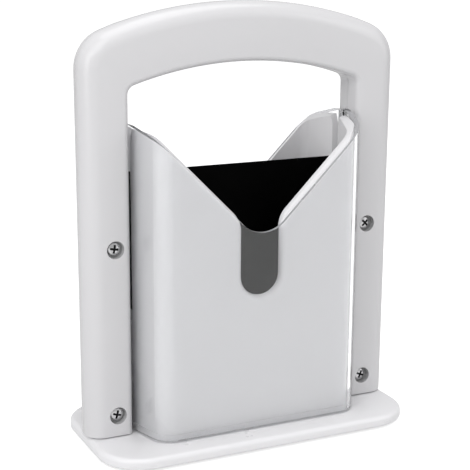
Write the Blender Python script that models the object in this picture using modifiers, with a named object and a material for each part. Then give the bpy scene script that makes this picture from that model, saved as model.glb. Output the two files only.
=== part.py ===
"""Bagel guillotine slicer, modelled at real size in metres, +Z up.

The origin is on the table under the middle of the slicer, with the front at -Y.
A fixed base carries the white bagel holder. The arched handle, its two clear
shields and the blade lift off together along +Z.
"""

import math

import bmesh
import bpy
from mathutils import Matrix, Vector

# Overall sizes

HEIGHT = 0.235
FRAME_WIDTH = 0.182
FIT_GAP = 0.0003
OVERRUN = 0.004
MERGE = 0.00001
SHARP_ANGLE = math.radians(32)
FLAT_ANGLE = math.radians(1)
QUARTER_TURN = math.radians(90)
ARCH_STEPS = 6
ROUND_STEPS = 4
HOLLOW_STEPS = 2
RIM_STEPS = 3
VALLEY_STEPS = 8
CORNER_STEPS = 6
SHOWN_SIDES = 24
HIDDEN_SIDES = 12
SCREW_SIDES = 16

# Base plate and feet

FOOT_DROP = 0.002
FOOT_RADIUS = 0.0065
FOOT_SEAT = 0.0012
FOOT_EDGE = 0.0008
FOOT_EDGE_STEPS = 4
FOOT_INSET_X = 0.0185
FOOT_INSET_Y = 0.014
PLATE_SHORTFALL = 0.0005
PLATE_DEPTH = 0.090
PLATE_CORNER = 0.024
PLATE_THICKNESS = 0.006
PLATE_TOP_ROUND = 0.0025
PLATE_LOWER_ROUND = 0.0013
PLATE_RIM = 0.0035
PLATE_SKIN = 0.0028
PLATE_RIB = 0.0018
PLATE_RIB_SHARES = (-0.66, -0.33, 0, 0.33, 0.66)
PAD_RADIUS = 0.0085

# Arched handle frame

LEG_WIDTH = 0.0245
FRAME_DEPTH = 0.021
GRIP_HEIGHT = 0.031
GRIP_CLEARANCE = 0.030
FRAME_CORNER = 0.021
OPENING_CORNER = 0.005
OUTER_ROUND = 0.0092
INNER_ROUND = 0.003
FRAME_WALL = 0.0025
LEG_CLEARANCE = 0.0007
SEAM_GAP = 0.0003
FRAME_RIB = 0.0018
GRIP_RIB_SHARES = (-0.51, 0, 0.51)
LEG_RIB_SHARES = (0.20, 0.34, 0.64, 0.77)

# Screws

SCREW_INSET = 0.0085
SCREW_LOWER_Z = 0.020
SCREW_UPPER_SHARE = 0.635
COUNTERBORE_RADIUS = 0.0047
COUNTERBORE_DEPTH = 0.0043
SCREW_HEAD_RADIUS = 0.0034
SCREW_HEAD_HEIGHT = 0.0021
SCREW_HEAD_DOME = 0.0007
SCREW_DOME_SHARES = (0, 0.33, 0.67, 1)
SCREW_CROSS_LENGTH = 0.0046
SCREW_CROSS_WIDTH = 0.0012
SCREW_CROSS_DEPTH = 0.0012
SCREW_TURN_SHARES = (0.17, 0.11, 0.25, 0.5)
SCREW_SHANK_RADIUS = 0.0016
SCREW_TIP = 0.0022
SCREW_BITE = 0.0036
BOSS_WALL = 0.0017
PILOT_BOSS_RADIUS = 0.0045
BASE_SCREW_INSET = 0.0215
BASE_BOSS_RADIUS = 0.0045
BASE_BOSS_HEIGHT = 0.016
BASE_BOSS_SINK = 0.001

# Clear shields

SHIELD_DEPTH = 0.031
SIDE_SLOPE = 0.28
SHIELD_CORNER = 0.012
SHIELD_WALL = 0.002
SHIELD_FLANGE = 0.0155
SHIELD_BOTTOM_CLEARANCE = 0.001
SHIELD_NOTCH_DEPTH = 0.064
SHIELD_VALLEY_ROUND = 0.017

# Bagel holder

HOLDER_CLEARANCE = 0.001
HOLDER_WALL = 0.0036
HOLDER_SHORTFALL = 0.0025
HOLDER_TOP_RISE = 0.0005
HOLDER_NOTCH_RISE = 0.0023
HOLDER_SHOULDER_ROUND = 0.008
HOLDER_RIM_ROUND = 0.0034
FINGER_SLOT_WIDTH = 0.0226
FINGER_SLOT_DEPTH = 0.028
FINGER_SLOT_MOUTH_ROUND = 0.014
HOLDER_BAND_HEIGHT = 0.0035
HOLDER_BAND_PROUD = 0.0005
GUIDE_CLEARANCE = 0.0027
GUIDE_LEAD = 0.005
GUIDE_MOUTH = 0.0094

# Blade

BLADE_THICKNESS = 0.0012
BLADE_RISE = 0.0388
BLADE_TANG = 0.014
BLADE_TANG_HEIGHT = 0.0718
BLADE_SHOULDER_INSET = 0.0025
BLADE_SHOULDER_DROP = 0.002
BLADE_TIP_CLEARANCE = 0.0065
SCALLOP_PITCH = 0.0052
SCALLOP_DEPTH = 0.0012
SCALLOP_SHARES = (0, 0.25, 0.5, 0.75)
GRIND_HEIGHT = 0.007
EDGE_THICKNESS = 0.0003

# Cradle

CRADLE_RISE = 0.0028
CRADLE_GROOVE_DEPTH = 0.0028
CRADLE_GROOVE_CLEARANCE = 0.0009
CRADLE_WALL = 0.003
CRADLE_VALLEY_ROUND = 0.010
KEEL_HALF_WIDTH = 0.005
CRADLE_RIB = 0.0024
CRADLE_RIB_SHARE = 0.45

# Places that follow from the sizes above

PLATE_WIDTH = FRAME_WIDTH - 2 * PLATE_SHORTFALL
PLATE_BOTTOM = FOOT_DROP
PLATE_TOP = PLATE_BOTTOM + PLATE_THICKNESS
FOOT_X = PLATE_WIDTH / 2 - FOOT_INSET_X
FOOT_Y = PLATE_DEPTH / 2 - FOOT_INSET_Y
LEG_INNER_X = FRAME_WIDTH / 2 - LEG_WIDTH
LEG_BOTTOM = PLATE_TOP + LEG_CLEARANCE
GRIP_INNER_RADIUS = HEIGHT - GRIP_HEIGHT
HALF_DEPTH = FRAME_DEPTH / 2
SHIELD_SIDE_X = LEG_INNER_X + FIT_GAP
SHIELD_FLANGE_X = LEG_INNER_X + SHIELD_FLANGE
SHIELD_BOTTOM = PLATE_TOP + SHIELD_BOTTOM_CLEARANCE
SHIELD_TOP = GRIP_INNER_RADIUS - GRIP_CLEARANCE
SHIELD_NOTCH_Z = SHIELD_TOP - SHIELD_NOTCH_DEPTH
SLOPE_STRETCH = math.hypot(1, SIDE_SLOPE)
HOLDER_BOTTOM = PLATE_TOP + FIT_GAP
HOLDER_TOP = SHIELD_TOP - HOLDER_SHORTFALL
HOLDER_NOTCH_Z = SHIELD_NOTCH_Z + HOLDER_NOTCH_RISE
HOLDER_INSET = SHIELD_WALL + HOLDER_CLEARANCE
HOLDER_INNER_Y = SHIELD_DEPTH - HOLDER_INSET - HOLDER_WALL
FINGER_SLOT_BOTTOM = SHIELD_NOTCH_Z - FINGER_SLOT_DEPTH
BLADE_TOP = SHIELD_NOTCH_Z + BLADE_RISE
BLADE_TIP_Z = PLATE_TOP + BLADE_TIP_CLEARANCE
BLADE_TANG_X = LEG_INNER_X + BLADE_TANG
BLADE_TANG_Z = BLADE_TOP - BLADE_TANG_HEIGHT
BLADE_SHOULDER_X = LEG_INNER_X - BLADE_SHOULDER_INSET
BLADE_SHOULDER_Z = BLADE_TANG_Z - BLADE_SHOULDER_DROP
BLADE_SLOPE = (BLADE_SHOULDER_Z - BLADE_TIP_Z) / BLADE_SHOULDER_X
GUIDE_HALF_WIDTH = BLADE_THICKNESS / 2 + GUIDE_CLEARANCE
CRADLE_RIB_X = BLADE_SHOULDER_X * CRADLE_RIB_SHARE
FLANGE_NEAR_Y = BLADE_THICKNESS / 2 + FIT_GAP
FLANGE_FAR_Y = FLANGE_NEAR_Y + SHIELD_WALL
STACK_Y = FLANGE_FAR_Y + FIT_GAP
SCREW_X = LEG_INNER_X + SCREW_INSET
SCREW_UPPER_Z = SHIELD_TOP * SCREW_UPPER_SHARE
CLEARANCE_HOLE_RADIUS = SCREW_SHANK_RADIUS + FIT_GAP
SEAT_Y = -(HALF_DEPTH - COUNTERBORE_DEPTH)
BASE_SCREW_X = LEG_INNER_X - BASE_SCREW_INSET
BASE_SCREW_Y = HOLDER_INNER_Y - BASE_BOSS_RADIUS + BASE_BOSS_SINK
BASE_SCREW_REACH_Z = HOLDER_BOTTOM + BASE_BOSS_HEIGHT - BOSS_WALL - FIT_GAP
BASE_SEAT_Z = PLATE_BOTTOM + FIT_GAP + SCREW_HEAD_HEIGHT


def clear_scene():
    for old in list(bpy.data.objects):
        bpy.data.objects.remove(old, do_unlink=True)


def new_collection(name):
    collection = bpy.data.collections.new(name)
    bpy.context.scene.collection.children.link(collection)
    return collection


def new_material(name, colour, roughness, metallic, transmission):
    material = bpy.data.materials.new(name)
    material.use_nodes = True
    shader = material.node_tree.nodes["Principled BSDF"]
    shader.inputs["Base Color"].default_value = (*colour, 1)
    shader.inputs["Roughness"].default_value = roughness
    shader.inputs["Metallic"].default_value = metallic
    shader.inputs["Transmission Weight"].default_value = transmission
    return material


def new_object(name, mesh):
    item = bpy.data.objects.new(name, mesh)
    CUTTERS.objects.link(item)
    item.hide_render = True
    item.display_type = "WIRE"
    return item


def finish_part(item, material, parent):
    """Move a finished solid from the cutters to the slicer and dress it."""
    CUTTERS.objects.unlink(item)
    PARTS.objects.link(item)
    item.hide_render = False
    item.display_type = "TEXTURED"
    item.data.materials.clear()
    item.data.materials.append(material)
    for face in item.data.polygons:
        face.material_index = 0
    item.data.shade_smooth()
    item.data.set_sharp_from_angle(angle=SHARP_ANGLE)
    item.parent = parent
    return item


# Outlines

def fillet_outline(corners, steps=4):
    """Round each corner (x, y, radius) of a closed outline with an arc."""
    points = []
    count = len(corners)
    for index, (x, y, radius) in enumerate(corners):
        here = Vector((x, y))
        if radius <= 0:
            points.append((x, y))
            continue
        before = (Vector(corners[index - 1][:2]) - here).normalized()
        after = (Vector(corners[(index + 1) % count][:2]) - here).normalized()
        half = before.angle(after) / 2
        centre = here + (before + after).normalized() * radius / math.sin(half)
        start = here + before * radius / math.tan(half) - centre
        sweep = start.angle_signed(here + after * radius / math.tan(half) - centre)
        for step in range(steps + 1):
            turn = Matrix.Rotation(-sweep * step / steps, 2)
            points.append(tuple(centre + turn @ start))
    return points


def mirrored(corners):
    """Add the other half of an outline whose given half lies at +X."""
    return corners + [(-x, y, radius) for x, y, radius in reversed(corners)]


def arch_outline(inset):
    """Outline of the handle frame in X and Z, moved inward by inset."""
    outer_x = FRAME_WIDTH / 2 - inset
    inner_x = LEG_INNER_X + inset
    outer_radius = HEIGHT - inset
    inner_radius = GRIP_INNER_RADIUS + inset
    bottom = LEG_BOTTOM + inset
    outer_round = FRAME_CORNER - inset
    inner_round = OPENING_CORNER + inset
    arch_shares = [(2 * step + 1) / (2 * ARCH_STEPS + 1) for step in range(ARCH_STEPS + 1)]
    right = []
    for share in arch_shares:
        x = (outer_x - outer_round) * share
        right.append((x, math.sqrt(outer_radius ** 2 - x ** 2), 0))
    right.append((outer_x, math.sqrt(outer_radius ** 2 - outer_x ** 2), outer_round))
    right.append((outer_x, bottom, 0))
    right.append((inner_x, bottom, 0))
    right.append((inner_x, math.sqrt(inner_radius ** 2 - inner_x ** 2), inner_round))
    for share in reversed(arch_shares):
        x = (inner_x - inner_round) * share
        right.append((x, math.sqrt(inner_radius ** 2 - x ** 2), 0))
    return right


def sleeve_outline(inset):
    """Plan of the shield's outer faces, front and rear together, moved inward."""
    side_x = SHIELD_SIDE_X - inset * SLOPE_STRETCH
    front_y = SHIELD_DEPTH - inset
    corner_x = side_x - SIDE_SLOPE * front_y
    corner_round = max(SHIELD_CORNER - inset, FIT_GAP)
    half = [(corner_x, front_y, corner_round), (side_x, 0, 0), (corner_x, -front_y, corner_round)]
    return fillet_outline(mirrored(half))


# Solids

def mesh_from(work):
    """Mesh of a closed bmesh, with its faces turned outward."""
    bmesh.ops.recalc_face_normals(work, faces=work.faces)
    if work.calc_volume(signed=True) < 0:
        bmesh.ops.reverse_faces(work, faces=work.faces)
    mesh = bpy.data.meshes.new("solid")
    work.to_mesh(mesh)
    work.free()
    return mesh


def flat_solid(name, outlines, thickness, placing):
    """Fill closed outlines, give them a thickness and place the result."""
    curve = bpy.data.curves.new(name, "CURVE")
    curve.dimensions = "2D"
    curve.fill_mode = "BOTH"
    curve.extrude = thickness / 2
    for outline in outlines:
        spline = curve.splines.new("POLY")
        spline.points.add(len(outline) - 1)
        for point, (x, y) in zip(spline.points, outline):
            point.co = (x, y, 0, 1)
        spline.use_cyclic_u = True
    guide = bpy.data.objects.new(name, curve)
    CUTTERS.objects.link(guide)
    bpy.context.view_layer.update()
    evaluated = guide.evaluated_get(bpy.context.evaluated_depsgraph_get())
    mesh = bpy.data.meshes.new_from_object(evaluated)
    bpy.data.objects.remove(guide, do_unlink=True)
    work = bmesh.new()
    work.from_mesh(mesh)
    bmesh.ops.remove_doubles(work, verts=work.verts, dist=MERGE)
    work.transform(placing)
    return new_object(name, mesh_from(work))


def upright_solid(name, outlines, front, back):
    """Solid whose outlines lie in X and Z, from y = front to y = back."""
    turn = Matrix(((1, 0, 0, 0), (0, 0, 1, (front + back) / 2), (0, 1, 0, 0), (0, 0, 0, 1)))
    return flat_solid(name, outlines, back - front, turn)


def plan_solid(name, outlines, bottom, top):
    """Solid whose outlines lie in X and Y, from z = bottom to z = top."""
    return flat_solid(name, outlines, top - bottom, Matrix.Translation((0, 0, (bottom + top) / 2)))


def box(name, low, high):
    work = bmesh.new()
    bmesh.ops.create_cube(work, size=1)
    middle = (Vector(low) + Vector(high)) / 2
    size = Vector(high) - Vector(low)
    work.transform(Matrix.Translation(middle) @ Matrix.Diagonal((*size, 1)))
    return new_object(name, mesh_from(work))


def rod(name, radius, start, end, sides=HIDDEN_SIDES):
    """Cylinder between two points."""
    start = Vector(start)
    end = Vector(end)
    work = bmesh.new()
    bmesh.ops.create_cone(
        work, cap_ends=True, segments=sides, radius1=radius, radius2=radius, depth=(end - start).length
    )
    turn = (end - start).to_track_quat("Z", "Y").to_matrix().to_4x4()
    work.transform(Matrix.Translation((start + end) / 2) @ turn)
    return new_object(name, mesh_from(work))


def settle(item):
    """Turn an object's modifiers into its mesh and weld points that coincide."""
    bpy.context.view_layer.update()
    evaluated = item.evaluated_get(bpy.context.evaluated_depsgraph_get())
    mesh = bpy.data.meshes.new_from_object(evaluated)
    work = bmesh.new()
    work.from_mesh(mesh)
    bmesh.ops.remove_doubles(work, verts=work.verts, dist=MERGE)
    work.to_mesh(mesh)
    work.free()
    item.modifiers.clear()
    item.data = mesh
    return item


def combine(item, tools, operation):
    for tool in tools:
        change = item.modifiers.new(operation.title(), "BOOLEAN")
        change.operation = operation
        change.solver = "EXACT"
        change.object = tool
        settle(item)
        bpy.data.objects.remove(tool, do_unlink=True)
    return item


def cut(item, *tools):
    return combine(item, tools, "DIFFERENCE")


def join(item, *tools):
    return combine(item, tools, "UNION")


def keep_inside(item, *tools):
    return combine(item, tools, "INTERSECT")


def round_edges(item, chooser, width, segments):
    """Round the edges for which chooser gives a share of the width."""
    work = bmesh.new()
    work.from_mesh(item.data)
    bmesh.ops.dissolve_limit(work, angle_limit=FLAT_ANGLE, verts=work.verts, edges=work.edges)
    layer = work.edges.layers.float.get("bevel_weight_edge")
    if layer is None:
        layer = work.edges.layers.float.new("bevel_weight_edge")
    for edge in work.edges:
        edge[layer] = chooser(edge)
    work.to_mesh(item.data)
    work.free()
    bevel = item.modifiers.new("Rounding", "BEVEL")
    bevel.limit_method = "WEIGHT"
    bevel.offset_type = "OFFSET"
    bevel.width = width
    bevel.segments = segments
    bevel.use_clamp_overlap = False
    return settle(item)


def turned_solid(name, profile, steps):
    """Turn a profile of (radius, height) points, top to bottom, about Z."""
    mesh = bpy.data.meshes.new(name)
    points = [(radius, 0, height) for radius, height in profile]
    mesh.from_pydata(points, [(index, index + 1) for index in range(len(points) - 1)], [])
    item = new_object(name, mesh)
    screw = item.modifiers.new("Turning", "SCREW")
    screw.axis = "Z"
    screw.steps = steps
    screw.render_steps = steps
    screw.use_merge_vertices = True
    screw.merge_threshold = MERGE
    return settle(item)


def mesh_only(item):
    """Keep a solid's mesh for several objects and drop the solid."""
    mesh = item.data
    bpy.data.objects.remove(item, do_unlink=True)
    return mesh


# Arched handle frame

def arch_solid(name, inset, front, back, rounded_y, steps):
    """The frame's outline as a solid with its outer and opening edges rounded at rounded_y."""
    outline = fillet_outline(mirrored(arch_outline(inset)))
    item = upright_solid(name, [outline], front, back)
    outer_round = OUTER_ROUND - inset
    inner_share = max(INNER_ROUND - inset, FIT_GAP) / outer_round
    bottom = LEG_BOTTOM + inset
    middle_radius = (HEIGHT + GRIP_INNER_RADIUS) / 2
    middle_x = (FRAME_WIDTH / 2 + LEG_INNER_X) / 2

    def chooser(edge):
        first, second = (vertex.co for vertex in edge.verts)
        if abs(first.y - rounded_y) > MERGE or abs(second.y - rounded_y) > MERGE:
            return 0
        if len(edge.link_faces) < 2 or edge.calc_face_angle() < SHARP_ANGLE:
            return 0
        middle = (first + second) / 2
        if abs(middle.z - bottom) < MERGE:
            return 0
        outside = abs(middle.x) > middle_x or math.hypot(middle.x, middle.z) > middle_radius
        return 1 if outside else inner_share

    return round_edges(item, chooser, outer_round, steps)


def frame_cavity(side):
    """Hollow of one frame half, with ribs and screw bosses left standing."""
    deep_y = side * (HALF_DEPTH - FRAME_WALL)
    open_y = -side * OVERRUN
    front, back = sorted((deep_y, open_y))
    cavity = arch_solid("frame_cavity", FRAME_WALL, front, back, deep_y, HOLLOW_STEPS)
    rib_y = sorted((side * (SEAM_GAP + STACK_Y), side * HALF_DEPTH))
    for share in GRIP_RIB_SHARES:
        x = LEG_INNER_X * share
        low = (x - FRAME_RIB / 2, rib_y[0], GRIP_INNER_RADIUS - GRIP_HEIGHT)
        high = (x + FRAME_RIB / 2, rib_y[1], HEIGHT)
        cut(cavity, box("grip_rib", low, high))
    for hand in (-1, 1):
        leg_x = sorted((hand * LEG_INNER_X, hand * FRAME_WIDTH / 2))
        for share in LEG_RIB_SHARES:
            height = HEIGHT * share
            low = (leg_x[0], rib_y[0], height - FRAME_RIB / 2)
            high = (leg_x[1], rib_y[1], height + FRAME_RIB / 2)
            cut(cavity, box("leg_rib", low, high))
        radius = COUNTERBORE_RADIUS + BOSS_WALL if side < 0 else PILOT_BOSS_RADIUS
        for height in (SCREW_LOWER_Z, SCREW_UPPER_Z):
            start = (hand * SCREW_X, side * STACK_Y, height)
            end = (hand * SCREW_X, side * HALF_DEPTH, height)
            cut(cavity, rod("screw_boss", radius, start, end))
    return cavity


def frame_shell(name, side):
    """One half of the handle frame: side -1 is the front, 1 the rear."""
    face_y = side * HALF_DEPTH
    front, back = sorted((face_y, side * SEAM_GAP / 2))
    shell = arch_solid(name, 0, front, back, face_y, ROUND_STEPS)
    cut(shell, frame_cavity(side))
    for hand in (-1, 1):
        stack_x = sorted((hand * (LEG_INNER_X - OVERRUN), hand * (SHIELD_FLANGE_X + FIT_GAP)))
        stack_y = sorted((-side * OVERRUN, side * STACK_Y))
        low = (stack_x[0], stack_y[0], LEG_BOTTOM - OVERRUN)
        high = (stack_x[1], stack_y[1], SHIELD_TOP + FIT_GAP)
        cut(shell, box("stack_recess", low, high))
        for height in (SCREW_LOWER_Z, SCREW_UPPER_Z):
            place = (hand * SCREW_X, 0, height)
            if side < 0:
                mouth = (hand * SCREW_X, face_y - OVERRUN, height)
                seat = (hand * SCREW_X, SEAT_Y, height)
                cut(shell, rod("counterbore", COUNTERBORE_RADIUS, mouth, seat, SHOWN_SIDES))
                cut(shell, rod("clearance_hole", CLEARANCE_HOLE_RADIUS, mouth, place))
            else:
                deep = (hand * SCREW_X, STACK_Y + SCREW_BITE + FIT_GAP, height)
                cut(shell, rod("pilot_hole", CLEARANCE_HOLE_RADIUS, place, deep))
    return shell


def screw_mesh(name, reach):
    """Screw seated at local z = 0, with a domed cross head above and its shank below."""
    head = [
        (SCREW_HEAD_RADIUS * share, SCREW_HEAD_HEIGHT - SCREW_HEAD_DOME * share ** 2)
        for share in SCREW_DOME_SHARES
    ]
    shank = [
        (SCREW_HEAD_RADIUS, 0),
        (SCREW_SHANK_RADIUS, 0),
        (SCREW_SHANK_RADIUS, SCREW_TIP - reach),
        (SCREW_SHANK_RADIUS / 2, -reach),
        (0, -reach),
    ]
    item = turned_solid(name, head + shank, SCREW_SIDES)
    low_z = SCREW_HEAD_HEIGHT - SCREW_CROSS_DEPTH
    high_z = SCREW_HEAD_HEIGHT + OVERRUN
    for x, y in ((SCREW_CROSS_LENGTH / 2, SCREW_CROSS_WIDTH / 2), (SCREW_CROSS_WIDTH / 2, SCREW_CROSS_LENGTH / 2)):
        cut(item, box("screw_slot", (-x, -y, low_z), (x, y, high_z)))
    return mesh_only(item)


# Clear shields

def shield(name, side):
    """Front (side -1) or rear (side 1) shield with its flanges for the frame's seam."""
    outer_x = SHIELD_SIDE_X - SIDE_SLOPE * FLANGE_FAR_Y
    inner_side = SHIELD_SIDE_X - SHIELD_WALL * SLOPE_STRETCH
    inner_x = inner_side - SIDE_SLOPE * FLANGE_NEAR_Y
    inner_front = SHIELD_DEPTH - SHIELD_WALL
    half = [
        (inner_side - SIDE_SLOPE * inner_front, inner_front, SHIELD_CORNER - SHIELD_WALL),
        (inner_x, FLANGE_NEAR_Y, 0),
        (SHIELD_FLANGE_X, FLANGE_NEAR_Y, 0),
        (SHIELD_FLANGE_X, FLANGE_FAR_Y, 0),
        (outer_x, FLANGE_FAR_Y, 0),
        (SHIELD_SIDE_X - SIDE_SLOPE * SHIELD_DEPTH, SHIELD_DEPTH, SHIELD_CORNER),
    ]
    outline = [(x, side * y, radius) for x, y, radius in mirrored(half)]
    item = plan_solid(name, [fillet_outline(outline)], SHIELD_BOTTOM, SHIELD_TOP)
    reach_x = SHIELD_FLANGE_X + OVERRUN
    notch = [
        (reach_x, SHIELD_NOTCH_Z + reach_x, 0),
        (0, SHIELD_NOTCH_Z, SHIELD_VALLEY_ROUND),
        (-reach_x, SHIELD_NOTCH_Z + reach_x, 0),
    ]
    front, back = sorted((side * (SHIELD_DEPTH + OVERRUN), 0))
    cut(item, upright_solid("shield_notch", [fillet_outline(notch, VALLEY_STEPS)], front, back))
    for hand in (-1, 1):
        for height in (SCREW_LOWER_Z, SCREW_UPPER_Z):
            start = (hand * SCREW_X, 0, height)
            end = (hand * SCREW_X, side * (STACK_Y + OVERRUN), height)
            cut(item, rod("flange_hole", CLEARANCE_HOLE_RADIUS, start, end))
    return item


# Blade

def blade_edge_height(x):
    """Height of the straight line through the scallop tips at distance x from the middle."""
    return BLADE_TIP_Z + BLADE_SLOPE * min(abs(x), BLADE_SHOULDER_X)


def edge_points():
    """Points (x, z, half thickness) of the scalloped edge from the right shoulder to the tip."""
    stretch = math.hypot(1, BLADE_SLOPE)
    count = max(round(BLADE_SHOULDER_X * stretch / SCALLOP_PITCH), 1)
    points = []
    for scallop in range(count, 0, -1):
        for share in SCALLOP_SHARES:
            x = BLADE_SHOULDER_X * (scallop - share) / count
            rise = SCALLOP_DEPTH * 4 * share * (1 - share)
            thickness = EDGE_THICKNESS + (BLADE_THICKNESS - EDGE_THICKNESS) * rise / GRIND_HEIGHT
            points.append((x, blade_edge_height(x) + rise * stretch, thickness / 2))
    return points


def blade():
    """Flat blade whose scalloped V edge is ground thin on both faces."""
    flat = BLADE_THICKNESS / 2
    grind_rise = GRIND_HEIGHT * math.hypot(1, BLADE_SLOPE)
    tang = [
        (BLADE_TANG_X, BLADE_TOP, flat),
        (BLADE_TANG_X, BLADE_TANG_Z, flat),
        (LEG_INNER_X, BLADE_SHOULDER_Z, flat),
    ]
    half = tang + edge_points()
    tip_index = len(half)
    loop = half + [(0, BLADE_TIP_Z, EDGE_THICKNESS / 2)] + [(-x, z, y) for x, z, y in reversed(half)]
    grind_line = [
        (BLADE_SHOULDER_X, BLADE_SHOULDER_Z + grind_rise, flat),
        (0, BLADE_TIP_Z + grind_rise, flat),
        (-BLADE_SHOULDER_X, BLADE_SHOULDER_Z + grind_rise, flat),
    ]
    ends = len(tang)
    rims = []
    work = bmesh.new()
    for side in (-1, 1):
        rim = [work.verts.new((x, side * y, z)) for x, z, y in loop]
        right, middle, left = [work.verts.new((x, side * y, z)) for x, z, y in grind_line]
        work.faces.new(rim[:ends] + [right, middle, left] + rim[-ends:])
        work.faces.new(rim[ends:tip_index + 1] + [middle, right])
        work.faces.new(rim[tip_index:-ends] + [left, middle])
        work.faces.new([rim[ends - 1], rim[ends], right])
        work.faces.new([rim[-ends], rim[-ends - 1], left])
        rims.append(rim)
    for index in range(len(loop)):
        work.faces.new([rims[0][index - 1], rims[0][index], rims[1][index], rims[1][index - 1]])
    item = new_object("blade", mesh_from(work))
    for hand in (-1, 1):
        start = (hand * SCREW_X, -OVERRUN, SCREW_UPPER_Z)
        end = (hand * SCREW_X, OVERRUN, SCREW_UPPER_Z)
        cut(item, rod("tang_hole", CLEARANCE_HOLE_RADIUS, start, end))
    return item


# Bagel holder

def holder_rim(edge):
    """1 for the edges along the rim and the finger slots, 0 for all others."""
    if len(edge.link_faces) < 2 or edge.calc_face_angle() < SHARP_ANGLE:
        return 0
    first, second = (vertex.co for vertex in edge.verts)
    if abs(first.y - second.y) > MERGE or min(first.z, second.z) < FINGER_SLOT_BOTTOM - MERGE:
        return 0
    return 1 if min(abs(first.x), abs(second.x)) < SHIELD_SIDE_X else 0


def holder_walls():
    """Block with the V notch and the finger slots, rounded along their edges."""
    slot_x = FINGER_SLOT_WIDTH / 2
    shoulder_x = HOLDER_TOP - HOLDER_NOTCH_Z
    wide_x = SHIELD_SIDE_X + OVERRUN
    half = [
        (slot_x, FINGER_SLOT_BOTTOM, slot_x - MERGE),
        (slot_x, HOLDER_NOTCH_Z + slot_x, FINGER_SLOT_MOUTH_ROUND),
        (shoulder_x, HOLDER_TOP, HOLDER_SHOULDER_ROUND),
        (wide_x, HOLDER_TOP + HOLDER_TOP_RISE, 0),
        (wide_x, HOLDER_BOTTOM - OVERRUN, 0),
    ]
    reach = SHIELD_DEPTH - HOLDER_INSET
    item = upright_solid("holder", [fillet_outline(mirrored(half), CORNER_STEPS)], -reach, reach)
    return round_edges(item, holder_rim, HOLDER_RIM_ROUND, RIM_STEPS)


def holder():
    item = holder_walls()
    outer = sleeve_outline(HOLDER_INSET)
    keep_inside(item, plan_solid("holder_outside", [outer], HOLDER_BOTTOM - 2 * OVERRUN, HOLDER_TOP + OVERRUN))
    band = sleeve_outline(HOLDER_INSET - HOLDER_BAND_PROUD)
    band_top = HOLDER_BOTTOM + HOLDER_BAND_HEIGHT
    join(item, plan_solid("holder_band", [band], HOLDER_BOTTOM - 2 * OVERRUN, band_top))
    inner = sleeve_outline(HOLDER_INSET + HOLDER_WALL)
    cut(item, plan_solid("holder_inside", [inner], HOLDER_BOTTOM - 3 * OVERRUN, HOLDER_TOP + 2 * OVERRUN))
    wide_x = SHIELD_SIDE_X + OVERRUN
    slot_bottom = blade_edge_height(SHIELD_SIDE_X - HOLDER_INSET - HOLDER_WALL) - CRADLE_GROOVE_DEPTH
    guide = [
        (GUIDE_HALF_WIDTH, slot_bottom - GUIDE_HALF_WIDTH, GUIDE_HALF_WIDTH - MERGE),
        (GUIDE_HALF_WIDTH, HOLDER_TOP - GUIDE_LEAD, 0),
        (GUIDE_MOUTH / 2, HOLDER_TOP, 0),
        (GUIDE_MOUTH / 2, HOLDER_TOP + OVERRUN, 0),
    ]
    turn = Matrix(((0, 0, 1, 0), (1, 0, 0, 0), (0, 1, 0, 0), (0, 0, 0, 1)))
    cut(item, flat_solid("guide_slots", [fillet_outline(mirrored(guide))], 2 * wide_x, turn))
    boss_top = HOLDER_BOTTOM + BASE_BOSS_HEIGHT
    for hand in (-1, 1):
        for side in (-1, 1):
            place = (hand * BASE_SCREW_X, side * BASE_SCREW_Y)
            low = (*place, HOLDER_BOTTOM - 3 * OVERRUN)
            join(item, rod("base_boss", BASE_BOSS_RADIUS, low, (*place, boss_top)))
            deep = (*place, BASE_SCREW_REACH_Z + FIT_GAP)
            cut(item, rod("base_pilot", CLEARANCE_HOLE_RADIUS, low, deep))
    below = (wide_x, SHIELD_DEPTH, HOLDER_BOTTOM)
    cut(item, box("holder_trim", (-wide_x, -SHIELD_DEPTH, HOLDER_BOTTOM - 4 * OVERRUN), below))
    return item


# Cradle

def cradle_band(name, reach_x, high_rise, low_rise, front, back, valley_round):
    """V-shaped band between two heights measured from the blade's edge."""
    end_z = BLADE_TIP_Z + BLADE_SLOPE * reach_x
    outline = [
        (reach_x, end_z + high_rise, 0),
        (0, BLADE_TIP_Z + high_rise, valley_round),
        (-reach_x, end_z + high_rise, 0),
        (-reach_x, end_z + low_rise, 0),
        (0, BLADE_TIP_Z + low_rise, 0),
        (reach_x, end_z + low_rise, 0),
    ]
    return upright_solid(name, [fillet_outline(outline, VALLEY_STEPS)], front, back)


def cradle():
    reach_y = HOLDER_INNER_Y + OVERRUN
    groove_y = BLADE_THICKNESS / 2 + CRADLE_GROOVE_CLEARANCE
    thickness_rise = CRADLE_WALL * math.hypot(1, BLADE_SLOPE)
    groove_low = -CRADLE_GROOVE_DEPTH
    reach_x = BLADE_SHOULDER_X
    low = CRADLE_RISE - thickness_rise
    item = cradle_band("cradle", reach_x, CRADLE_RISE, low, -reach_y, reach_y, CRADLE_VALLEY_ROUND)
    low = groove_low - thickness_rise
    high = CRADLE_RISE - thickness_rise / 2
    reach_x += OVERRUN
    join(item, cradle_band("keel", reach_x, high, low, -KEEL_HALF_WIDTH, KEEL_HALF_WIDTH, 0))
    for hand in (-1, 1):
        x = hand * CRADLE_RIB_X
        top = blade_edge_height(x)
        low = (x - CRADLE_RIB / 2, -HOLDER_INNER_Y, HOLDER_BOTTOM)
        high = (x + CRADLE_RIB / 2, HOLDER_INNER_Y, top)
        join(item, box("cradle_rib", low, high))
    high = CRADLE_RISE + 2 * OVERRUN
    reach_x += OVERRUN
    cut(item, cradle_band("groove", reach_x, high, groove_low, -groove_y, groove_y, 0))
    fit = sleeve_outline(HOLDER_INSET + HOLDER_WALL + FIT_GAP)
    keep_inside(item, plan_solid("cradle_fit", [fit], HOLDER_BOTTOM, HOLDER_TOP))
    return item


# Base plate and feet

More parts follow.
